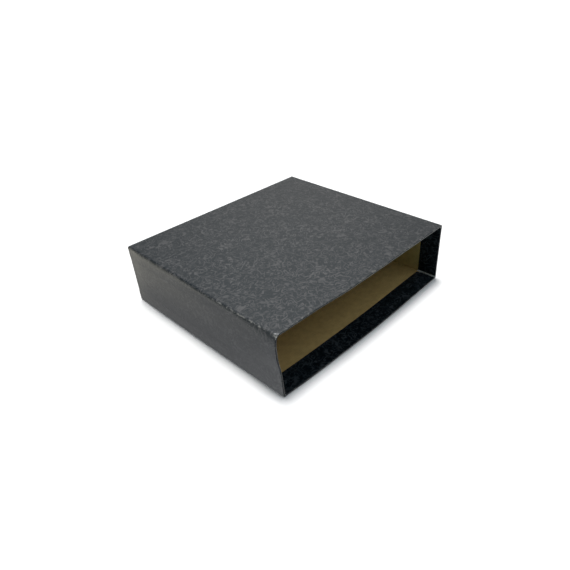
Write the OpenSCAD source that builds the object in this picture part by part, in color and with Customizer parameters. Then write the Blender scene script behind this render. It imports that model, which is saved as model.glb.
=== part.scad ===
// Open-ended archive slipcase for one lever-arch file, lying on its large face.
// Five greyboard panels, five kraft linings and three marbled cover papers.
// Millimetres, +Z up, mouth towards -Y, origin under the middle of the case.

/* [Case] */
// Outer width, along the mouth
case_w = 326; // [240:1:420]
// Outer depth, from the mouth to the back
case_d = 300; // [200:1:400]
// Outer height, between the two large faces
case_h = 90; // [70:1:160]

/* [Sheets] */
// Thickness of the greyboard panels
board_t = 2; // [1.5:0.1:4]
// Thickness of the marbled cover papers
cover_t = 0.25; // [0.15:0.05:0.5]
// Thickness of the kraft linings
lining_t = 0.2; // [0.1:0.05:0.4]

/* [Cover papers] */
// How far the large papers lap onto the walls
lap = 14; // [8:1:30]
// Margin from the large faces at which the wall strip starts
strip_inset = 1.5; // [0.5:0.1:4]
// Slit at the back corners of the large papers
corner_slit = 0.5; // [0.3:0.1:2]

/* [Turn-ins] */
// Depth of the paper turned in at the mouth
turn_in = 30; // [26:1:45]
// Bare board between a large turn-in and the side walls
floor_turn_gap = 1; // [1:0.1:3]
// Bare board between a wall turn-in and the large panels
wall_turn_gap = 2.5; // [1.5:0.1:6]
// Length of the snip at the inner corners of a large turn-in
snip_len = 6; // [2:0.5:7]
// Width of the snip at the inner corners of a large turn-in
snip_w = 4; // [2:0.5:8]

/* [Linings] */
// Distance of the linings behind the mouth
lining_setback = 14; // [8:1:18]
// Clearance round the linings at the inside corners
lining_gap = 0.5; // [0.5:0.1:2]

/* [Hidden] */
// Outer faces of the case
x_out = case_w / 2;
y_mouth = -case_d / 2;
y_out = case_d / 2;
// Outer faces of the lapped skirts, under the wall strip
x_skirt = x_out - cover_t;
y_skirt = y_out - cover_t;
// Outer and inner faces of the wall boards
x_wall = x_skirt - cover_t;
y_wall = y_skirt - cover_t;
x_in = x_wall - board_t;
y_in = y_wall - board_t;
// Front edges of the boards, behind the folded paper
y_board = y_mouth + cover_t;
// Inner face of the bottom panel
z_in = cover_t + board_t;
// Front edges of the linings and inner edges of the turn-ins
y_lining = y_mouth + lining_setback;
y_turn = y_mouth + turn_in;
// Half width of the large turn-ins
x_turn = x_in - floor_turn_gap;
// Lower ends of the wall folds and of the wall turn-ins
z_fold = max(z_in, strip_inset);
z_turn = max(z_in + wall_turn_gap, z_fold);
// Height a turn-in rises to over a lining
step_t = lining_t + cover_t;

// Box between two opposite corners
module slab(low, high) {
    translate(low) cube(high - low);
}

// Copy of a bottom piece at the top
module to_top() {
    translate([0, 0, case_h]) mirror([0, 0, 1]) children();
}

// Copy of a left piece on the right
module to_right() {
    mirror([1, 0, 0]) children();
}

// Large panel of board
module large_board() {
    slab([-x_wall, y_board, cover_t], [x_wall, y_wall, z_in]);
}

// Side wall of board, between the large panels
module side_board() {
    slab([-x_wall, y_board, z_in], [-x_in, y_in, case_h - z_in]);
}

// Lining of a large panel
module large_lining() {
    slab([-x_in + lining_gap, y_lining, z_in], [x_in - lining_gap, y_in - lining_gap, z_in + lining_t]);
}

// Lining of a side wall
module side_lining() {
    slab([-x_in, y_lining, z_in + lining_gap],
         [-x_in + lining_t, y_in - lining_gap, case_h - z_in - lining_gap]);
}

// Inner end of a large turn-in, seen in plan, with snipped corners
module large_turn_end() {
    polygon([[-x_turn, y_lining - cover_t], [x_turn, y_lining - cover_t],
             [x_turn, y_turn - snip_len], [x_turn - snip_w, y_turn],
             [-x_turn + snip_w, y_turn], [-x_turn, y_turn - snip_len]]);
}

// Skirt of a large paper on one side wall
module side_skirt() {
    slab([-x_skirt, y_mouth, 0], [-x_wall, y_wall - corner_slit, z_in]);
    slab([-x_skirt, y_board, 0], [-x_wall, y_wall - corner_slit, lap]);
}

// Large paper: face, fold over the mouth edge, three skirts and the turn-in
module large_paper() {
    slab([-x_skirt, y_mouth, 0], [x_skirt, y_skirt, cover_t]);
    slab([-x_skirt, y_mouth, 0], [x_skirt, y_board, z_in]);
    side_skirt();
    to_right() side_skirt();
    slab([-x_wall, y_wall, 0], [x_wall, y_skirt, lap]);
    slab([-x_turn, y_mouth, z_in], [x_turn, y_lining, z_in + cover_t]);
    slab([-x_turn, y_lining - cover_t, z_in], [x_turn, y_lining, z_in + step_t]);
    translate([0, 0, z_in + lining_t]) linear_extrude(cover_t) large_turn_end();
}

// Plan of the wall strip between an outer and an inner line, open at the mouth
module strip_plan(xo, yo, xi, yi) {
    polygon([[-xo, y_mouth], [-xo, yo], [xo, yo], [xo, y_mouth],
             [xi, y_mouth], [xi, yi], [-xi, yi], [-xi, y_mouth]]);
}

// Edge of the wall strip, laid over a skirt and stepping down beyond it
module strip_edge() {
    translate([0, 0, strip_inset]) linear_extrude(lap - strip_inset)
        strip_plan(x_out, y_out, x_skirt, y_skirt);
    translate([0, 0, lap]) linear_extrude(cover_t)
        strip_plan(x_out, y_out, x_wall, y_wall);
}

// Fold of the wall strip over one side wall's mouth edge, with its turn-in
module strip_mouth() {
    slab([-x_skirt, y_mouth, z_fold], [-x_in, y_board, case_h - z_fold]);
    slab([-x_in, y_mouth, z_turn], [-x_in + cover_t, y_lining, case_h - z_turn]);
    slab([-x_in, y_lining - cover_t, z_turn], [-x_in + step_t, y_lining, case_h - z_turn]);
    slab([-x_in + lining_t, y_lining - cover_t, z_turn], [-x_in + step_t, y_turn, case_h - z_turn]);
}

module bottom_board() {
    color([0.62, 0.61, 0.58]) large_board();
}

module top_board() {
    color([0.62, 0.61, 0.58]) to_top() large_board();
}

module left_wall_board() {
    color([0.62, 0.61, 0.58]) side_board();
}

module right_wall_board() {
    color([0.62, 0.61, 0.58]) to_right() side_board();
}

module back_wall_board() {
    color([0.62, 0.61, 0.58]) slab([-x_wall, y_in, z_in], [x_wall, y_wall, case_h - z_in]);
}

module bottom_lining() {
    color([0.62, 0.52, 0.36]) large_lining();
}

module top_lining() {
    color([0.62, 0.52, 0.36]) to_top() large_lining();
}

module left_lining() {
    color([0.62, 0.52, 0.36]) side_lining();
}

module right_lining() {
    color([0.62, 0.52, 0.36]) to_right() side_lining();
}

module back_lining() {
    color([0.62, 0.52, 0.36])
        slab([-x_in + lining_gap, y_in - lining_t, z_in + lining_gap],
             [x_in - lining_gap, y_in, case_h - z_in - lining_gap]);
}

module bottom_cover_paper() {
    color([0.16, 0.16, 0.17]) large_paper();
}

module top_cover_paper() {
    color([0.16, 0.16, 0.17]) to_top() large_paper();
}

module wall_cover_strip() {
    color([0.2, 0.2, 0.21]) {
        strip_edge();
        to_top() strip_edge();
        translate([0, 0, lap + cover_t]) linear_extrude(case_h - 2 * (lap + cover_t))
            strip_plan(x_skirt, y_skirt, x_wall, y_wall);
        strip_mouth();
        to_right() strip_mouth();
    }
}

bottom_board();
top_board();
left_wall_board();
right_wall_board();
back_wall_board();
bottom_lining();
top_lining();
left_lining();
right_lining();
back_lining();
bottom_cover_paper();
top_cover_paper();
wall_cover_strip();
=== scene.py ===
import math

import bmesh
import bpy
from mathutils import Matrix, Vector


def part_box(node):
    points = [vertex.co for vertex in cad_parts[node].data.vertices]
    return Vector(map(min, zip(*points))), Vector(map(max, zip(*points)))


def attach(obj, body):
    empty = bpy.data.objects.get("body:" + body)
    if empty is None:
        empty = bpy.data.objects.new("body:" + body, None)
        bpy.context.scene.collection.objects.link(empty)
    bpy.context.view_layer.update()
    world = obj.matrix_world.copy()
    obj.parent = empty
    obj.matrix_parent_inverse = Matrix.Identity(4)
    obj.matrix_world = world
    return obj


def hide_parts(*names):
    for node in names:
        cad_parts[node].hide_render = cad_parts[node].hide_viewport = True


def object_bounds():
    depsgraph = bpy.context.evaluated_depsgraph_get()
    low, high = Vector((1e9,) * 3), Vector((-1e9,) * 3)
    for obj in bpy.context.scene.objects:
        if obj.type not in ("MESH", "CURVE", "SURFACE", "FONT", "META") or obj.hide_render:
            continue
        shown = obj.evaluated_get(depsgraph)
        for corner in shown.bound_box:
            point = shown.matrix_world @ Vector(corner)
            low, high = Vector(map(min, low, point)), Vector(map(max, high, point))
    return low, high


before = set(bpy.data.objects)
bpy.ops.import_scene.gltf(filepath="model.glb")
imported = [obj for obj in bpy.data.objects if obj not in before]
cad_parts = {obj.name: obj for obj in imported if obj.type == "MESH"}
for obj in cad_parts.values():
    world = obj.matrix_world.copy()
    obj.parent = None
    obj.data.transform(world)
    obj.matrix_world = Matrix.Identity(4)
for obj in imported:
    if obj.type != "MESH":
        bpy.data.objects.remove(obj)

mm = 0.001
cadLow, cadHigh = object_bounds()
print("stage: frame loaded, nodes", len(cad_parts))

# sizes of the case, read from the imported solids
stripLow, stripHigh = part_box("wall_cover_strip")
boardLow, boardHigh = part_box("bottom_board")
liningLow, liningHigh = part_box("bottom_lining")
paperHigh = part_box("bottom_cover_paper")[1]
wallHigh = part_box("left_wall_board")[1]
caseHeight = cadHigh.z
outX, outY, mouthY = stripHigh.x, stripHigh.y, stripLow.y
skirtX, skirtY, lapHeight = paperHigh.x, paperHigh.y, paperHigh.z
innerX, innerZ = -wallHigh.x, boardHigh.z
paperThick = boardLow.z
liningThick = liningHigh.z - liningLow.z
liningSetback = liningLow.y - mouthY
stripInset = stripLow.z


# how the case has settled in use: bowed mouth edges, a knocked near corner and a bulged left wall
wear = {
    "lowMouthBow": 4.4 * mm,   # forward bow of the bottom mouth edge
    "topMouthBow": 1.2 * mm,   # forward bow of the top mouth edge
    "bowSkew": 0.5,            # how much the bow flattens towards the right wall
    "knockTop": 2.4 * mm,      # how far the near end of the mouth's top edge is knocked back
    "knockLow": -0.7 * mm,     # the same at the bottom, where it stands forward
    "knockSpan": (55 * mm, 125 * mm),  # full to the first distance from the left wall, gone at the second
    "knockDepth": 90 * mm,     # how far back the knock is felt
    "bulge": 4.3 * mm,         # outward bulge of the left wall behind the mouth
    "bulgeDepth": 100 * mm,    # how far back the bulge runs
    "bulgeEase": 0.23, "bulgeEaseDepth": 22 * mm,  # how much less it is at the mouth itself
    "bulgeTop": 16 * mm,       # height below the top edge over which the bulge rises
    "bulgeFoot": 32 * mm, "bulgeFall": 30 * mm,  # where it ends above the floor, and how fast
    "bulgeInside": 25 * mm,    # how far in from the wall the wall's shape is felt
    "sideBow": 1.3 * mm, "sideBowEnd": 60 * mm,  # bow of the left wall's length, and its taper at the back
    "edgeRoll": 1.6 * mm, "edgeRollEnd": 32 * mm,  # soft shoulder along the left wall, and its taper
    "edgeRollDown": 6 * mm, "edgeRollFoot": 45 * mm,
    "flare": 1.1 * mm, "flareDown": 14 * mm,  # top edge pushed out
    "flareFrom": 60 * mm,      # where that starts at the back
    "footIn": 1.2 * mm,        # how far the wall's foot stands in at the mouth
    "footHeight": 40 * mm, "footDepth": 120 * mm,
    "tipDrop": 2.1 * mm,       # dent of the very corner
    "tipReach": 5.5 * mm, "tipDepth": 14 * mm,
    "crush": 0.6 * mm, "crushReach": 2.8 * mm,  # softened left edge of the top
    "crushRest": 0.35,         # its share at the right and back edges
}


def eased(value):  # 0 to 1 with soft ends
    value = min(1.0, max(0.0, value))
    return value * value * (3 - 2 * value)


def rounded(value):  # 1 at an edge, falling to 0 like a rounded corner
    return min(1.0, max(0.0, 1 - value)) ** 2


def bell(value):  # 0 at both ends, 1 in the middle
    return 16 * (value * (1 - value)) ** 2


def settled(point):
    fromLeft, fromMouth, fromTop = point.x + outX, point.y - mouthY, caseHeight - point.z
    fromBack = outY - point.y
    height, across = point.z / caseHeight, point.x / outX
    # bow and knock of the mouth
    belly = wear["lowMouthBow"] * (1 - height) + wear["topMouthBow"] * height
    belly *= (1 - across ** 2) * (1 - wear["bowSkew"] * eased(across))
    forward = belly * (fromBack / (2 * outY)) ** 2
    full, gone = wear["knockSpan"]
    knock = wear["knockLow"] * (1 - height) + wear["knockTop"] * height
    back = knock * eased((gone - fromLeft) / (gone - full)) * eased(1 - fromMouth / wear["knockDepth"])
    # left wall
    atMouth = eased(1 - fromMouth / wear["bulgeDepth"])
    out = wear["bulge"] * atMouth * (1 - rounded(fromTop / wear["bulgeTop"]))
    out *= eased((point.z - wear["bulgeFoot"]) / wear["bulgeFall"])
    out *= 1 - wear["bulgeEase"] * eased(1 - fromMouth / wear["bulgeEaseDepth"])
    bow = wear["sideBow"] * bell(height) * eased(fromBack / wear["sideBowEnd"])
    shoulder = wear["edgeRoll"] * (1 - rounded(fromTop / wear["edgeRollDown"]))
    shoulder *= eased(point.z / wear["edgeRollFoot"]) * eased(fromBack / wear["edgeRollEnd"])
    out += (bow + shoulder) * (1 - atMouth)
    along = min(1.0, max(0.0, (wear["flareFrom"] - point.y) / (wear["flareFrom"] - mouthY)))
    out += wear["flare"] * bell(along) * eased(1 - fromTop / wear["flareDown"])
    foot = eased(1 - point.z / wear["footHeight"]) * eased(1 - fromMouth / wear["footDepth"])
    out = (out - wear["footIn"] * foot) * eased(1 - fromLeft / wear["bulgeInside"])
    # dented corner and softened edges of the top
    fromCorner = math.hypot(fromLeft, fromMouth)
    atTop = eased(1 - fromTop / wear["tipDepth"])
    tip = wear["tipDrop"] * eased(1 - fromCorner / wear["tipReach"]) * atTop
    rest = wear["crushRest"] * rounded(min(outX - point.x, fromBack) / wear["crushReach"])
    crush = wear["crush"] * max(rounded(fromLeft / wear["crushReach"]), rest) * atTop
    return Vector((point.x - out, point.y - forward + back, point.z - tip - crush))


# stations for the meshes: fine near an edge, wider towards the middle
spacing = {"first": 1.1 * mm, "growth": 1.3, "widest": 15 * mm}


def graded(length):
    marks = [0.0]
    step = spacing["first"]
    while marks[-1] < length:
        marks.append(marks[-1] + step)
        step = min(step * spacing["growth"], spacing["widest"])
    return [mark * length / marks[-1] for mark in marks]


def spread(low, high):
    marks = graded((high - low) / 2)
    return [low + mark for mark in marks] + [high - mark for mark in reversed(marks[:-1])]


def finishMesh(name, build, materials, smoothAngle=40):
    bmesh.ops.recalc_face_normals(build, faces=build.faces)
    mesh = bpy.data.meshes.new(name)
    build.to_mesh(mesh)
    build.free()
    mesh.polygons.foreach_set("use_smooth", [True] * len(mesh.polygons))
    mesh.set_sharp_from_angle(angle=math.radians(smoothAngle))
    for material in materials:
        mesh.materials.append(material)
    piece = bpy.data.objects.new(name, mesh)
    bpy.context.scene.collection.objects.link(piece)
    return piece


def place(piece, node):
    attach(piece, "root")
    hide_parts(node)


# shader wiring: one socket with arithmetic, and one method for every other node
class Wire:
    def __init__(self, tree, socket=None):
        self.tree = tree
        self.socket = socket

    def node(self, kind, settings=None, sockets=None, out=0):
        made = self.tree.nodes.new(kind)
        for key, value in (settings or {}).items():
            if key == "stops":
                for stop, (position, colour) in zip(made.color_ramp.elements, value):
                    stop.position = position
                    stop.color = colour
            else:
                setattr(made, key, value)
        for key, value in (sockets or {}).items():
            if isinstance(value, Wire):
                self.tree.links.new(value.socket, made.inputs[key])
            else:
                made.inputs[key].default_value = value
        return Wire(self.tree, made.outputs[out])

    def maths(self, operation, first, second=0.0):
        return self.node("ShaderNodeMath", {"operation": operation}, {0: first, 1: second})

    def __add__(self, other):
        return self.maths("ADD", self, other)

    def __sub__(self, other):
        return self.maths("SUBTRACT", self, other)

    def __rsub__(self, other):
        return self.maths("SUBTRACT", other, self)

    def __mul__(self, other):
        return self.maths("MULTIPLY", self, other)

    __radd__ = __add__
    __rmul__ = __mul__

    def ramp(self, low, high, start=0.0, end=1.0):  # soft step from start to end
        return self.node("ShaderNodeMapRange", {"interpolation_type": "SMOOTHSTEP"},
                         {"Value": self, "From Min": low, "From Max": high,
                          "To Min": start, "To Max": end})

    def mixed(self, first, second):  # colours, with this value as the factor
        return self.node("ShaderNodeMix", {"data_type": "RGBA"}, {0: self, 6: first, 7: second}, 2)


def newFinish(name, fixed):
    material = bpy.data.materials.new(name)
    material.use_nodes = True
    surface = material.node_tree.nodes["Principled BSDF"]
    for key, value in fixed.items():
        surface.inputs[key].default_value = value
    return material, surface, Wire(material.node_tree)


def feed(surface, tree, colour, roughness, normal):
    for key, wire in (("Base Color", colour), ("Roughness", roughness), ("Normal", normal)):
        tree.tree.links.new(wire.socket, surface.inputs[key])


def inMillimetres(tree):
    spot = tree.node("ShaderNodeTexCoord", out="Object")
    return tree.node("ShaderNodeVectorMath", {"operation": "SCALE"}, {0: spot, "Scale": 1 / mm})


def clouds(tree, spot, size, detail=2.0, distortion=0.0):  # noise with features of that many millimetres
    return tree.node("ShaderNodeTexNoise", {},
                     {"Vector": spot, "Scale": 1 / size, "Detail": detail, "Distortion": distortion})


def moved(tree, spot, shift):
    return tree.node("ShaderNodeVectorMath", {"operation": "ADD"}, {0: spot, 1: shift})


def bumped(tree, height, depth):
    return tree.node("ShaderNodeBump", {},
                     {"Height": height, "Strength": 1.0, "Distance": depth}, "Normal")


# black paper with pale grey worm-like marbling; in the finishes, sizes without a unit are in mm
marbling = {
    "ground": (0.0002, 0.0045, 0.0075, 1),
    "vein": (0.045, 0.046, 0.048, 1),
    "insideGround": (0.0001, 0.0035, 0.0065, 1),  # painted shade: a darker, bluer, less glossy copy of the same paper for the turned-in margins, which lie in the mouth's shade
    "insideVein": (0.041, 0.051, 0.058, 1),
    "gloss": 0.5, "insideGloss": 0.12,
    "rubbed": (0.52, 0.51, 0.47, 1),
    "swirlSize": 12.5,
    "layers": ((1.0, 1.0), (0.65, 0.7)),  # each layer's share of that size, and its strength
    "layerShift": Vector((41.0, 17.0, 29.0)),
    "levels": 4.0,                    # contour lines in the height of the swirl
    "veinEdges": (0.23, 0.05),        # where a vein fades and is full, in gaps between contours
    "breakSize": 6.5, "breakShift": (7.0, 3.0, 5.0), "breakEdges": (0.36, 0.52),
    "toneSize": 28.0, "toneLow": 0.65,
    "roughness": 0.40, "fineRoughness": 0.12, "broadRoughness": 0.1, "rubbedRoughness": 0.3,
    "grain": 0.7, "mottle": 6.0, "grainShare": 0.35, "relief": 0.05 * mm,
    "cornerRub": (60.0, 12.0),        # extra rubbing round the bumped corner, from and to these distances
    "nick": (2.4, 0.8),               # and bare paper at its tip
    "fleckSize": 5.5, "fleckShift": (4.0, 9.0, 2.0), "fleckEdges": (0.53, 0.63),  # flecks along a fold
    "foldRub": 0.025, "cornerMore": 0.015, "nickMore": 0.30, "fleckRub": 0.19, "cornerFleck": 0.06,
}


def makeVeins(tree, spot):
    veins = None
    for layer, (scale, strength) in enumerate(marbling["layers"]):
        sheet = moved(tree, spot, layer * marbling["layerShift"])
        swirl = clouds(tree, sheet, marbling["swirlSize"] * scale, 0.0, 1.0)
        contour = tree.maths("PINGPONG", swirl * marbling["levels"], 0.5)
        breaks = clouds(tree, moved(tree, sheet, marbling["breakShift"]), marbling["breakSize"], 1.0)
        broken = contour.ramp(*marbling["veinEdges"]) * breaks.ramp(*marbling["breakEdges"]) * strength
        veins = broken if veins is None else tree.maths("MAXIMUM", veins, broken)
    return veins * clouds(tree, spot, marbling["toneSize"], 3.0).ramp(0.3, 0.7, marbling["toneLow"], 1.0)


def makeRubbing(tree, spot):  # pale wear on the folds, most round the bumped corner
    crease = tree.node("ShaderNodeAttribute", {"attribute_name": "crease"}, out="Fac")
    corner = settled(Vector((-outX, mouthY, caseHeight))) / mm
    distance = tree.node("ShaderNodeVectorMath", {"operation": "DISTANCE"}, {0: spot, 1: corner}, "Value")
    close = distance.ramp(*marbling["cornerRub"])
    nick = distance.ramp(*marbling["nick"])
    flecks = clouds(tree, moved(tree, spot, marbling["fleckShift"]), marbling["fleckSize"], 2.0)
    rubbed = flecks.ramp(*marbling["fleckEdges"]) * (close * marbling["cornerFleck"] + marbling["fleckRub"])
    rubbed = rubbed + close * marbling["cornerMore"] + nick * marbling["nickMore"] + marbling["foldRub"]
    return crease * rubbed


def makeMarbledPaper(name, ground, vein, gloss):
    material, surface, tree = newFinish(name, {"IOR": 1.42, "Specular IOR Level": gloss})
    spot = inMillimetres(tree)
    rubbing = makeRubbing(tree, spot)
    colour = rubbing.mixed(makeVeins(tree, spot).mixed(ground, vein), marbling["rubbed"])
    fine = clouds(tree, spot, marbling["grain"], 3.0)
    broad = clouds(tree, spot, marbling["mottle"], 2.0)
    roughness = (fine - 0.5) * marbling["fineRoughness"] + (broad - 0.5) * marbling["broadRoughness"]
    roughness = roughness + rubbing * marbling["rubbedRoughness"] + marbling["roughness"]
    normal = bumped(tree, fine * marbling["grainShare"] + broad, marbling["relief"])
    feed(surface, tree, colour, roughness, normal)
    return material


# brown kraft paper
kraft = {
    "pale": (0.60, 0.430, 0.171, 1),
    "dark": (0.48, 0.334, 0.128, 1),
    "fleck": (0.16, 0.11, 0.06, 1),
    "fibreSize": 0.8, "fibreDraw": (0.12, 1.0, 1.0),  # fibres are drawn out along the mouth
    "mottleSize": 9.0, "toneShare": 0.6,
    "fleckSize": 1.4, "fleckEdges": (0.68, 0.74), "fleckShare": 0.6,
    "roughness": 0.72, "mottleRoughness": 0.15, "relief": 0.03 * mm,
}


def makeKraft():
    material, surface, tree = newFinish("kraftPaper", {"IOR": 1.45, "Specular IOR Level": 0.3})
    spot = inMillimetres(tree)
    drawn = tree.node("ShaderNodeVectorMath", {"operation": "MULTIPLY"}, {0: spot, 1: kraft["fibreDraw"]})
    fibres = clouds(tree, drawn, kraft["fibreSize"], 4.0)
    mottle = clouds(tree, spot, kraft["mottleSize"], 3.0)
    tone = (fibres * kraft["toneShare"] + mottle * kraft["toneShare"]).ramp(0.4, 0.8)
    flecks = clouds(tree, spot, kraft["fleckSize"], 2.0).ramp(*kraft["fleckEdges"]) * kraft["fleckShare"]
    colour = flecks.mixed(tone.mixed(kraft["pale"], kraft["dark"]), kraft["fleck"])
    roughness = (mottle - 0.5) * kraft["mottleRoughness"] + kraft["roughness"]
    feed(surface, tree, colour, roughness, bumped(tree, fibres + mottle * 0.5, kraft["relief"]))
    return material


# bare recycled board
greyboard = {
    "pale": (0.84, 0.835, 0.815, 1),
    "dark": (0.66, 0.655, 0.635, 1),
    "speck": (0.09, 0.09, 0.10, 1),
    "pulpSize": 2.2,
    "speckSize": 0.9, "speckEdges": (0.66, 0.72), "speckShare": 0.7,
    "roughness": 0.88, "pulpRoughness": 0.1, "relief": 0.06 * mm,
}


def makeGreyboard():
    material, surface, tree = newFinish("greyboard", {"IOR": 1.45, "Specular IOR Level": 0.2})
    spot = inMillimetres(tree)
    pulp = clouds(tree, spot, greyboard["pulpSize"], 5.0)
    base = pulp.ramp(0.35, 0.68).mixed(greyboard["pale"], greyboard["dark"])
    specks = clouds(tree, spot, greyboard["speckSize"], 1.0).ramp(*greyboard["speckEdges"])
    colour = (specks * greyboard["speckShare"]).mixed(base, greyboard["speck"])
    roughness = (pulp - 0.5) * greyboard["pulpRoughness"] + greyboard["roughness"]
    feed(surface, tree, colour, roughness, bumped(tree, pulp, greyboard["relief"]))
    return material


# pale core of the cover paper, seen only on cut edges
paperCore = {
    "pale": (0.34, 0.335, 0.32, 1),
    "dark": (0.2, 0.2, 0.2, 1),
    "fuzzSize": 1.5,
    "roughness": 0.8, "fuzzRoughness": 0.1, "relief": 0.02 * mm,
}


def makePaperCore():
    material, surface, tree = newFinish("paperCore", {"IOR": 1.45, "Specular IOR Level": 0.2})
    spot = inMillimetres(tree)
    fuzz = clouds(tree, spot, paperCore["fuzzSize"], 4.0)
    colour = fuzz.ramp(0.35, 0.65).mixed(paperCore["pale"], paperCore["dark"])
    roughness = fuzz * paperCore["fuzzRoughness"] + paperCore["roughness"]
    feed(surface, tree, colour, roughness, bumped(tree, fuzz, paperCore["relief"]))
    return material


marbledFinish = makeMarbledPaper("marbledPaper", marbling["ground"], marbling["vein"], marbling["gloss"])
# the turned-in margins get the same paper darkened, blued and made less glossy: painted shade
shadedTurnInFinish = makeMarbledPaper("marbledTurnInShade", marbling["insideGround"], marbling["insideVein"],
                                marbling["insideGloss"])
kraftFinish = makeKraft()
boardFinish = makeGreyboard()
coreFinish = makePaperCore()
print("stage: finishes made")


# boards and loose linings: panels with softened edges, fine enough to follow the dents
panel = {
    "boardEdge": 0.97 * mm, "liningEdge": 0.05 * mm,
    "edgeShare": 0.49,                      # most of a side that one rounded edge may take up
    "arcShare": (0.0, 0.586),               # stations on a rounded edge
    "largeSnug": Vector((0.4 * mm, 0, 0)),  # how much nearer the walls the large linings lie
    "wallSnug": Vector((0, 0, 0.28 * mm)),  # and the wall linings the large ones
    "cutBack": 31 * mm, "cutEase": 3 * mm,  # how far behind the mouth a lining's front corners are cut away
    "largeCut": Vector((2 * mm, 0, 0)), "wallCut": Vector((0, 0, 3 * mm)),
    "cutFade": 3.0,                         # width of the strip that is drawn in, in cuts
}


def panelMarks(low, high, edge):
    ends = [edge * share for share in panel["arcShare"]]
    lowEnd = [low + end for end in ends]
    highEnd = [high - end for end in reversed(ends)]
    return lowEnd + spread(low + edge, high - edge) + highEnd


def cutCorner(spot, low, high, cut):  # draws the sides of a lining in at its front, which bares the board
    into = eased((mouthY + panel["cutBack"] - spot.y) / panel["cutEase"])
    middle = (low + high) / 2
    for axis in (0, 2):
        half = (high[axis] - low[axis]) / 2
        offset = spot[axis] - middle[axis]
        if cut[axis]:
            share = max(0.0, 1 - (half - abs(offset)) / (panel["cutFade"] * cut[axis]))
            spot[axis] -= math.copysign(share * cut[axis] * into, offset)
    return spot


def makePanel(name, node, edge, material, wider=Vector(), cut=Vector()):
    low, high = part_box(node)
    low, high = low - wider, high + wider
    soft = [min(edge, panel["edgeShare"] * length) for length in high - low]
    marks = [panelMarks(low[axis], high[axis], soft[axis]) for axis in range(3)]
    inner = [(low[axis] + edge, high[axis] - edge) for axis in range(3)]
    build = bmesh.new()
    corners = {}

    def corner(index):
        if index not in corners:
            raw = Vector([marks[axis][index[axis]] for axis in range(3)])
            core = Vector([min(max(raw[axis], inner[axis][0]), inner[axis][1]) for axis in range(3)])
            spot = cutCorner(core + (raw - core).normalized() * edge, low, high, cut)
            corners[index] = build.verts.new(settled(spot))
        return corners[index]

    for axis in range(3):
        across, along = (axis + 1) % 3, (axis + 2) % 3
        for end in (0, len(marks[axis]) - 1):
            for first in range(len(marks[across]) - 1):
                for second in range(len(marks[along]) - 1):
                    ring = []
                    for stepA, stepB in ((0, 0), (1, 0), (1, 1), (0, 1)):
                        index = [0, 0, 0]
                        index[axis] = end
                        index[across] = first + stepA
                        index[along] = second + stepB
                        ring.append(corner(tuple(index)))
                    build.faces.new(ring)
    place(finishMesh(name, build, [material]), node)


for name, node in (("bottomPanel", "bottom_board"), ("topPanel", "top_board"),
                   ("leftWallPanel", "left_wall_board"), ("rightWallPanel", "right_wall_board"),
                   ("backWallPanel", "back_wall_board")):
    makePanel(name, node, panel["boardEdge"], boardFinish)
for name, node in (("topLiningSheet", "top_lining"), ("bottomLiningSheet", "bottom_lining")):
    makePanel(name, node, panel["liningEdge"], kraftFinish,
              panel["largeSnug"], panel["largeCut"])
for name, node in (("leftLiningSheet", "left_lining"), ("rightLiningSheet", "right_lining")):
    makePanel(name, node, panel["liningEdge"], kraftFinish,
              panel["wallSnug"], panel["wallCut"])
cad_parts["back_lining"].material_slots[0].material = kraftFinish
print("stage: boards and linings made")


# folded papers: a grid of stations with an outer skin, a glue side and cut edges all round
fold = {
    "radius": 0.8 * mm,      # over the mouth edge, and at the strip's upright folds
    "sideRadius": 1.4 * mm,  # along the sides and the back of the large papers
    "segments": 4,
    "slit": 0.3 * mm,        # cut beside a turn-in
    "stepRun": 0.9 * mm,     # length of the step onto a lining
    "stepMarks": (1.0, 0.66, 0.33, 0.0),
    "hair": 0.001 * mm,      # tolerance where stations are compared
}
turnIn = {
    "depth": 30 * mm,
    "sideGap": 1 * mm, "wallGap": 2.5 * mm,        # from its ends to the neighbouring panels
    "snipLength": 6 * mm, "snipWidth": 4 * mm,
    "snipMarks": (1.5, 1.0, 0.5, 0.0),             # stations beside a snip, in its widths
    "before": [3 * mm, 6.5 * mm, 10 * mm], "after": 18 * mm,  # stations before and after the lining's edge
}
turnX = innerX - turnIn["sideGap"]
rollStart = innerZ + paperThick - fold["radius"]  # where a fold starts to roll round the board's inner edge
turns = [(count + 1) / fold["segments"] for count in range(fold["segments"])]
finishIndex = {"outside": 0, "core": 1, "turnIn": 2}  # places in a sheet's list of finishes
order = {"flat": 0, "arc": 1, "skirt": 2, "drop": 2, "roll": 3, "turn": 4}


def outermost(first, second):
    return first if order[first[0]] >= order[second[0]] else second


def turnedIn(*stations):
    return any(isinstance(station, tuple) and station[0] == "turn" for station in stations)


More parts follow.
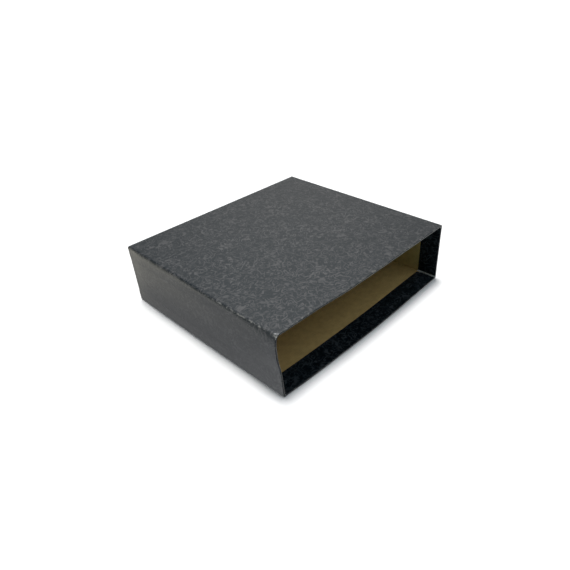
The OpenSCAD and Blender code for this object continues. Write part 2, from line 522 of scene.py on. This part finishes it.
def foldedSheet(name, columns, rows, point, kept, rimFinish="core"):
    build = bmesh.new()
    creaseLayer = build.verts.layers.float.new("crease")
    made = {}

    def vertex(column, row, side):
        key = (column, row, side)
        if key not in made:
            spot, crease = point(columns[column], rows[row], side * paperThick)
            made[key] = build.verts.new(settled(spot))
            made[key][creaseLayer] = crease
        return made[key]

    cells = {(i, j) for i in range(len(columns) - 1) for j in range(len(rows) - 1)
             if kept(columns[i], columns[i + 1], rows[j], rows[j + 1])}
    for i, j in sorted(cells):
        ring = [(i, j), (i + 1, j), (i + 1, j + 1), (i, j + 1)]
        front = build.faces.new([vertex(*mark, 0) for mark in ring])
        inside = turnedIn(columns[i], columns[i + 1], rows[j], rows[j + 1])
        # turned-in cells take the darker, less glossy copy of the paper, which is painted shade
        front.material_index = finishIndex["turnIn" if inside else "outside"]
        back = build.faces.new([vertex(*mark, 1) for mark in reversed(ring)])
        back.material_index = finishIndex["core"]
        beside = ((i, j - 1), (i + 1, j), (i, j + 1), (i - 1, j))
        for side, neighbour in enumerate(beside):
            if neighbour not in cells:
                start, end = ring[side], ring[(side + 1) % 4]
                edge = ((*end, 0), (*start, 0), (*start, 1), (*end, 1))
                rim = build.faces.new([vertex(*mark) for mark in edge])
                rim.material_index = finishIndex[rimFinish]
    return finishMesh(name, build, [marbledFinish, coreFinish, shadedTurnInFinish])


def liningLift(distance):  # a turn-in climbs onto the lining just before the lining's front edge
    return liningThick * eased(1 + (distance - liningSetback) / fold["stepRun"])


def turnMarks():
    ramp = [liningSetback - fold["stepRun"] * share for share in fold["stepMarks"]]
    depth, snip = turnIn["depth"], turnIn["snipLength"]
    return turnIn["before"] + ramp + [turnIn["after"], depth - snip, depth - snip / 2, depth]


# the two large papers
largePaper = {
    "skirtMarks": (0.35, 0.68, 1.0),             # shares of the lap
    "wornFull": 100 * mm, "wornGone": 150 * mm,  # wear of the side folds, back from the mouth
    "rubReach": 3.4 * mm,                        # how far onto the face the mouth edge is rubbed
    "sideLean": 1.4, "mouthLean": 0.7,           # below 1 a fold is rubbed most near the face
}


def overEdge(zone, value, reach, depth, radius):  # distance outwards and drop below the face
    ring = radius - depth
    angle = value * math.pi / 2
    if zone == "arc":
        return reach - radius + ring * math.sin(angle), radius - ring * math.cos(angle)
    if zone == "roll":
        return reach - radius + ring * math.cos(angle), rollStart + ring * math.sin(angle)
    if zone == "turn":
        return reach - value, innerZ + paperThick - depth + liningLift(value)
    return reach - depth, value


def straightRoll(value):  # beside a turn-in the fold just runs straight to the board's inner face
    return rollStart + value * (innerZ - rollStart)


def snipped(x, value):  # draws the last few millimetres at each side in along the snip
    into = max(0.0, value - turnIn["depth"] + turnIn["snipLength"]) / turnIn["snipLength"]
    free = turnX - turnIn["snipMarks"][0] * turnIn["snipWidth"]
    share = max(0.0, abs(x) - free) / (turnX - free)
    return x - math.copysign(share * turnIn["snipWidth"] * into, x)


def creaseOf(zone, value, lean):  # how rubbed a fold is
    return math.sin(math.pi * value ** lean) if zone in ("arc", "roll") else 0.0


def sideWear(y):
    return eased((mouthY + largePaper["wornGone"] - y) / (largePaper["wornGone"] - largePaper["wornFull"]))


def largePoint(column, row, depth):
    zoneU, sideU, valueU = column
    zoneV, sideV, valueV = row
    reachV = skirtY if sideV > 0 else -mouthY
    radiusU = fold["sideRadius"]
    radiusV = fold["sideRadius"] if sideV > 0 else fold["radius"]
    wornV = float(sideV < 0)  # only the mouth edge is rubbed, not the back
    wornU = sideWear(valueV) if zoneV == "flat" else wornV
    crease = max(creaseOf(zoneU, valueU, largePaper["sideLean"]) * wornU,
                 creaseOf(zoneV, valueV, largePaper["mouthLean"]) * wornV)
    if zoneU == "flat" and zoneV == "flat":
        return Vector((valueU, valueV, depth)), rounded((valueV - mouthY) / largePaper["rubReach"])
    if zoneU == "flat":
        x = valueU
        out, drop = overEdge(zoneV, valueV, reachV, depth, radiusV)
        if zoneV == "roll" and abs(x) > turnX + 0.5 * fold["slit"]:
            out, drop = reachV - depth, straightRoll(valueV)
        if zoneV == "turn":
            x = snipped(x, valueV)
        return Vector((x, sideV * out, drop)), crease
    if zoneV == "flat":
        out, drop = overEdge(zoneU, valueU, skirtX, depth, radiusU)
        return Vector((sideU * out, valueV, drop)), crease
    # rounded corner of the sheet, with its two halves running on below it
    partU = valueU if zoneU == "arc" else 1.0
    partV = valueV if zoneV == "arc" else 1.0
    tilt = max(partU, partV) * math.pi / 2
    swing = math.pi / 4 * (partV / partU if partU >= partV else 2 - partU / partV)
    radius = radiusU + (radiusV - radiusU) * math.sin(swing) ** 2
    drop = radius - (radius - depth) * math.cos(tilt)
    if zoneU == "skirt":
        drop += valueU - radius
    if zoneV in ("skirt", "drop"):
        drop += valueV - radius
    if zoneV == "roll":
        drop += straightRoll(valueV) - radius
    x = sideU * (skirtX - radiusU + (radiusU - depth) * math.sin(tilt) * math.cos(swing))
    y = sideV * (reachV - radiusV + (radiusV - depth) * math.sin(tilt) * math.sin(swing))
    return Vector((x, y, drop)), crease


def largeKept(columnA, columnB, rowA, rowB):
    zoneU = outermost(columnA, columnB)[0]
    zoneV = outermost(rowA, rowB)[0]
    shortSkirt = innerZ + fold["hair"]
    if zoneU == "flat":
        nearX, farX = sorted((abs(columnA[2]), abs(columnB[2])))
        onTurn = farX < turnX + fold["hair"]
        if zoneV == "turn":
            return onTurn
        return zoneV != "roll" or onTurn or nearX > turnX + fold["slit"] - fold["hair"]
    if zoneU == "arc":
        return zoneV != "turn" and (zoneV != "skirt" or max(rowA[2], rowB[2]) < shortSkirt)
    if zoneV == "flat":
        return True
    return zoneV == "arc" and max(columnA[2], columnB[2]) < shortSkirt


def largeStations():
    radius = fold["radius"]
    skirt = [innerZ] + [innerZ + (lapHeight - innerZ) * share for share in largePaper["skirtMarks"]]
    nearTurn = [turnX - share * turnIn["snipWidth"] for share in turnIn["snipMarks"]]
    nearTurn += [turnX + fold["slit"], skirtX - fold["sideRadius"]]
    middle = spread(-nearTurn[0], nearTurn[0])
    edgeU = [("flat", x) for x in nearTurn[1:]] + [("arc", turn) for turn in turns]
    edgeU += [("skirt", drop) for drop in skirt]
    left = [(zone, -1, -value if zone == "flat" else value) for zone, value in reversed(edgeU)]
    columns = left + [("flat", 0, x) for x in middle] + [(zone, 1, value) for zone, value in edgeU]
    rows = [("skirt", 1, drop) for drop in reversed(skirt)] + [("arc", 1, turn) for turn in reversed(turns)]
    rows += [("flat", 0, y) for y in reversed(spread(mouthY + radius, skirtY - fold["sideRadius"]))]
    rows += [("arc", -1, turn) for turn in turns]
    rows += [("drop", -1, 0.5 * (radius + rollStart)), ("drop", -1, rollStart)]
    rows += [("roll", -1, turn) for turn in turns] + [("turn", -1, mark) for mark in turnMarks()]
    return columns, rows


def makeLargePaper(name, node, faceZ, inwards):
    def point(column, row, depth):
        spot, crease = largePoint(column, row, depth)
        return Vector((spot.x, spot.y, faceZ + inwards * spot.z)), crease

    columns, rows = largeStations()
    place(foldedSheet(name, columns, rows, point, largeKept), node)


makeLargePaper("bottomCoverSheet", "bottom_cover_paper", 0.0, 1)
makeLargePaper("topCoverSheet", "top_cover_paper", caseHeight, -1)
print("stage: large papers made")


# the strip round the three walls
strip = {"drape": 5 * mm, "drapeMarks": (0.0, 0.25, 0.5, 0.75, 1.0)}
turnZ = innerZ + turnIn["wallGap"]


def stripPoint(column, z, depth):
    zone, side, value = column
    fromEdge = min(z, caseHeight - z)
    over = 1 - eased((fromEdge - lapHeight) / strip["drape"])  # 1 where the strip lies on a skirt
    reachX = skirtX + over * (outX - skirtX)
    reachY = skirtY + over * (outY - skirtY)
    radius = fold["radius"]
    ring = radius - depth
    rollX = innerX - paperThick + radius  # where the fold starts to roll into the mouth
    angle = value * math.pi / 2
    crease = math.sin(math.pi * value) if zone in ("roll", "arc", "backArc") else 0.0
    if zone == "turn":
        x, y = innerX - paperThick + depth - liningLift(value), mouthY + value
    elif zone == "roll" and fromEdge < turnZ - 0.5 * fold["slit"]:
        x, y = rollX + value * (innerX - rollX), mouthY + depth
    elif zone == "roll":
        x, y = rollX - ring * math.sin(angle), mouthY + radius - ring * math.cos(angle)
    elif zone == "arc":
        x, y = reachX - radius + ring * math.sin(angle), mouthY + radius - ring * math.cos(angle)
    elif zone == "side":
        x, y = reachX - depth, value
    elif zone == "backArc":
        x, y = reachX - radius + ring * math.cos(angle), reachY - radius + ring * math.sin(angle)
    else:
        x, y = value * (reachX - radius), reachY - depth
    return Vector((side * x, y, z)), crease


def stripKept(columnA, columnB, rowA, rowB):
    zones = {columnA[0], columnB[0]}
    fromEdge = min(min(rowA, rowB), caseHeight - max(rowA, rowB)) + fold["hair"]
    atSlit = turnZ - fold["slit"] <= fromEdge < turnZ
    if "turn" in zones:
        return fromEdge >= turnZ
    if zones == {"roll"}:
        return fromEdge >= innerZ and not atSlit
    if "roll" in zones or zones == {"arc"}:
        return fromEdge >= innerZ
    return True


def stripStations():
    radius = fold["radius"]
    half = [("turn", mark) for mark in reversed(turnMarks())]
    half += [("roll", turn) for turn in reversed(turns)] + [("roll", 0.0), ("arc", 0.0)]
    half += [("arc", turn) for turn in turns]
    half += [("side", y) for y in spread(mouthY + radius, skirtY - radius)[1:-1]]
    half += [("backArc", 0.0)] + [("backArc", turn) for turn in turns]
    middle = [share / (outX - radius) for share in spread(-outX + radius, outX - radius)[1:-1]]
    columns = [(zone, -1, value) for zone, value in half] + [("back", 1, value) for value in middle]
    columns += [(zone, 1, value) for zone, value in reversed(half)]
    low = [stripInset, 0.5 * (stripInset + innerZ), innerZ, 0.5 * (innerZ + turnZ)]
    low += [turnZ - fold["slit"], turnZ, 0.5 * (turnZ + lapHeight)]
    low += [lapHeight + strip["drape"] * share for share in strip["drapeMarks"]]
    centre = spread(low[-1], caseHeight - low[-1])[1:-1]
    return columns, low + centre + [caseHeight - z for z in reversed(low)]


stripColumns, stripRows = stripStations()
stripSheet = foldedSheet("wallCoverStrip", stripColumns, stripRows, stripPoint, stripKept, "outside")
place(stripSheet, "wall_cover_strip")
print("stage: wall strip made")


# camera of the photograph, found from the corners of the case
view = {
    "azimuth": -44.99, "elevation": 33.79, "roll": -2.78,  # degrees
    "distance": 681.32 * mm,
    "target": (-26.33 * mm, -55.01 * mm, 43.88 * mm),
    "focalPixels": 501.52, "imagePixels": 570, "sensor": 36.0,
    "axisPixels": (18.41, -0.23),  # where the optical axis meets the picture, from its middle
    "clip": (10 * mm, 200.0),
}


def makeCamera():
    azimuth, elevation, roll = (math.radians(view[key]) for key in ("azimuth", "elevation", "roll"))
    back = Vector((math.sin(azimuth) * math.cos(elevation), -math.cos(azimuth) * math.cos(elevation),
                   math.sin(elevation)))
    level = Vector((0, 0, 1)).cross(back).normalized()
    upright = back.cross(level)
    right = level * math.cos(roll) + upright * math.sin(roll)
    above = upright * math.cos(roll) - level * math.sin(roll)
    data = bpy.data.cameras.new("photoCamera")
    data.sensor_width = view["sensor"]
    data.lens = view["focalPixels"] * view["sensor"] / view["imagePixels"]
    data.shift_x = -view["axisPixels"][0] / view["imagePixels"]
    data.shift_y = view["axisPixels"][1] / view["imagePixels"]
    data.clip_start, data.clip_end = view["clip"]
    camera = bpy.data.objects.new("photoCamera", data)
    turned = Matrix((right, above, back)).transposed()
    stand = Vector(view["target"]) + back * view["distance"]
    camera.matrix_world = Matrix.Translation(stand) @ turned.to_4x4()
    bpy.context.scene.collection.objects.link(camera)
    bpy.context.scene.camera = camera


# pale floor, soft sky with brighter and darker patches, a lamp over the case and a sun for the floor
studio = {
    "floorSize": 60.0, "floorDrop": 0.1 * mm,  # metres across, and the gap under the case
    "floorPale": (0.905, 0.90, 0.89, 1), "floorDark": (0.89, 0.885, 0.875, 1),
    "castSize": 60.0,             # mm, of the faint clouds in it
    "floorRoughness": 0.85, "castRoughness": 0.1, "floorRelief": 0.01 * mm,
    "skyNear": (0.055, 0.075, 0.085, 1), "skyFar": (0.30, 0.307, 0.32, 1),  # before and beyond the case
    "skyTurn": (-0.35, 0.3),      # cosines to the back patch where one goes over into the other
    "belowFront": (0.04, 0.06, 0.07, 1), "belowBack": (1.56, 1.60, 1.65, 1),  # seen past the floor's edge
    "belowTurn": (-0.35, -0.1),   # the same, as cosines to +Y
    "horizon": (0.0, -0.26),      # and from the sky to what is below, as cosines to +Z
    "backdrop": (0.82, 0.82, 0.81, 1),  # plain wall that the camera sees past the floor
    "sunStrength": 2.9, "sunAngle": 13.0,
    "sunLean": (0.018, 0.120),    # how far the floor's light leans towards +X and +Y
    "lampPlace": (-130 * mm, -80 * mm, 610 * mm), "lampSize": 120 * mm, "lampPower": 3.9,
}
patches = {  # what parts of the case mirror, each with the cosines where it fades in and is full
    "back": {"light": (1.68, 1.64, 1.59, 1), "heading": (0.53, 0.53, 0.66), "reach": (0.88, 1.0)},
    "front": {"light": (0.86, 0.95, 1.06, 1), "heading": (0.10, -0.565, 0.819), "reach": (0.80, 0.98)},
    "rim": {"light": (1.6, 1.6, 1.6, 1), "heading": (0.64, -0.52, -0.565), "reach": (0.90, 0.975)},
    "edge": {"light": (0.50, 0.54, 0.58, 1), "heading": (-0.59, -0.59, -0.55), "reach": (0.86, 0.97)},
    "wall": {"light": (2.20, 2.11, 1.78, 1), "heading": (-0.25, 0.95, -0.17), "reach": (0.82, 0.99)},
    "foot": {"light": (0.48, 0.48, 0.49, 1), "heading": (-0.20, 0.715, -0.67), "reach": (0.94, 0.985)},
    "left": {"light": (0.165, 0.245, 0.225, 1), "heading": (-0.75, -0.66, 0.0), "reach": (0.80, 0.97)},
}


def makeFloor():
    material, surface, tree = newFinish("paleFloor", {"Specular IOR Level": 0.0})
    spot = inMillimetres(tree)
    cast = clouds(tree, spot, studio["castSize"], 3.0)
    colour = cast.ramp(0.3, 0.7).mixed(studio["floorPale"], studio["floorDark"])
    roughness = cast * studio["castRoughness"] + studio["floorRoughness"]
    feed(surface, tree, colour, roughness, bumped(tree, cast, studio["floorRelief"]))
    half = studio["floorSize"] / 2
    mesh = bpy.data.meshes.new("paleFloor")
    outline = [(-half, -half), (half, -half), (half, half), (-half, half)]
    mesh.from_pydata([(x, y, -studio["floorDrop"]) for x, y in outline], [], [(0, 1, 2, 3)])
    mesh.materials.append(material)
    floor = bpy.data.objects.new("paleFloor", mesh)
    bpy.context.scene.collection.objects.link(floor)
    floor.visible_diffuse = False  # keeps the floor's bounce out of the mouth, as a black card would
    floor.visible_glossy = False   # and its shadow out of the wall's sheen
    return floor


def lightFloor(lamp, floor, state):  # INCLUDE lights the floor alone, EXCLUDE all but the floor
    group = bpy.data.collections.new(lamp.name + "Group")
    group.objects.link(floor)
    group.collection_objects[0].light_linking.link_state = state
    lamp.light_linking.receiver_collection = group


def makeLight(floor):
    world = bpy.data.worlds.new("softSky")
    world.use_nodes = True
    bpy.context.scene.world = world
    tree = Wire(world.node_tree)
    way = tree.node("ShaderNodeTexCoord", out="Generated")

    def towards(heading):
        return tree.node("ShaderNodeVectorMath", {"operation": "DOT_PRODUCT"}, {0: way, 1: heading}, "Value")

    def patched(light, *names):
        for name in names:
            patch = patches[name]
            light = towards(patch["heading"]).ramp(*patch["reach"]).mixed(light, patch["light"])
        return light

    beyond = towards(patches["back"]["heading"]).ramp(*studio["skyTurn"])
    sky = patched(beyond.mixed(studio["skyNear"], studio["skyFar"]), "back", "front")
    behind = towards((0, 1, 0)).ramp(*studio["belowTurn"])
    below = patched(behind.mixed(studio["belowFront"], studio["belowBack"]), "rim", "edge")
    sky = towards((0, 0, 1)).ramp(*studio["horizon"]).mixed(sky, below)
    sky = patched(sky, "wall", "foot", "left")
    seen = tree.node("ShaderNodeLightPath", out="Is Camera Ray").mixed(sky, studio["backdrop"])
    world.node_tree.links.new(seen.socket, world.node_tree.nodes["Background"].inputs["Color"])

    sun = bpy.data.lights.new("floorLight", "SUN")
    sun.energy = studio["sunStrength"]
    sun.angle = math.radians(studio["sunAngle"])
    floorLight = bpy.data.objects.new("floorLight", sun)
    heading = Vector((*studio["sunLean"], 1.0))
    floorLight.rotation_euler = heading.to_track_quat("Z", "Y").to_euler()
    bpy.context.scene.collection.objects.link(floorLight)
    lightFloor(floorLight, floor, "INCLUDE")

    disc = bpy.data.lights.new("overheadLamp", "AREA")
    disc.shape = "DISK"
    disc.size = studio["lampSize"]
    disc.energy = studio["lampPower"]
    overheadLamp = bpy.data.objects.new("overheadLamp", disc)
    overheadLamp.location = studio["lampPlace"]
    bpy.context.scene.collection.objects.link(overheadLamp)
    lightFloor(overheadLamp, floor, "EXCLUDE")


makeCamera()
makeLight(makeFloor())
bpy.context.scene.view_settings.view_transform = "Standard"
print("stage: camera, floor and light set")
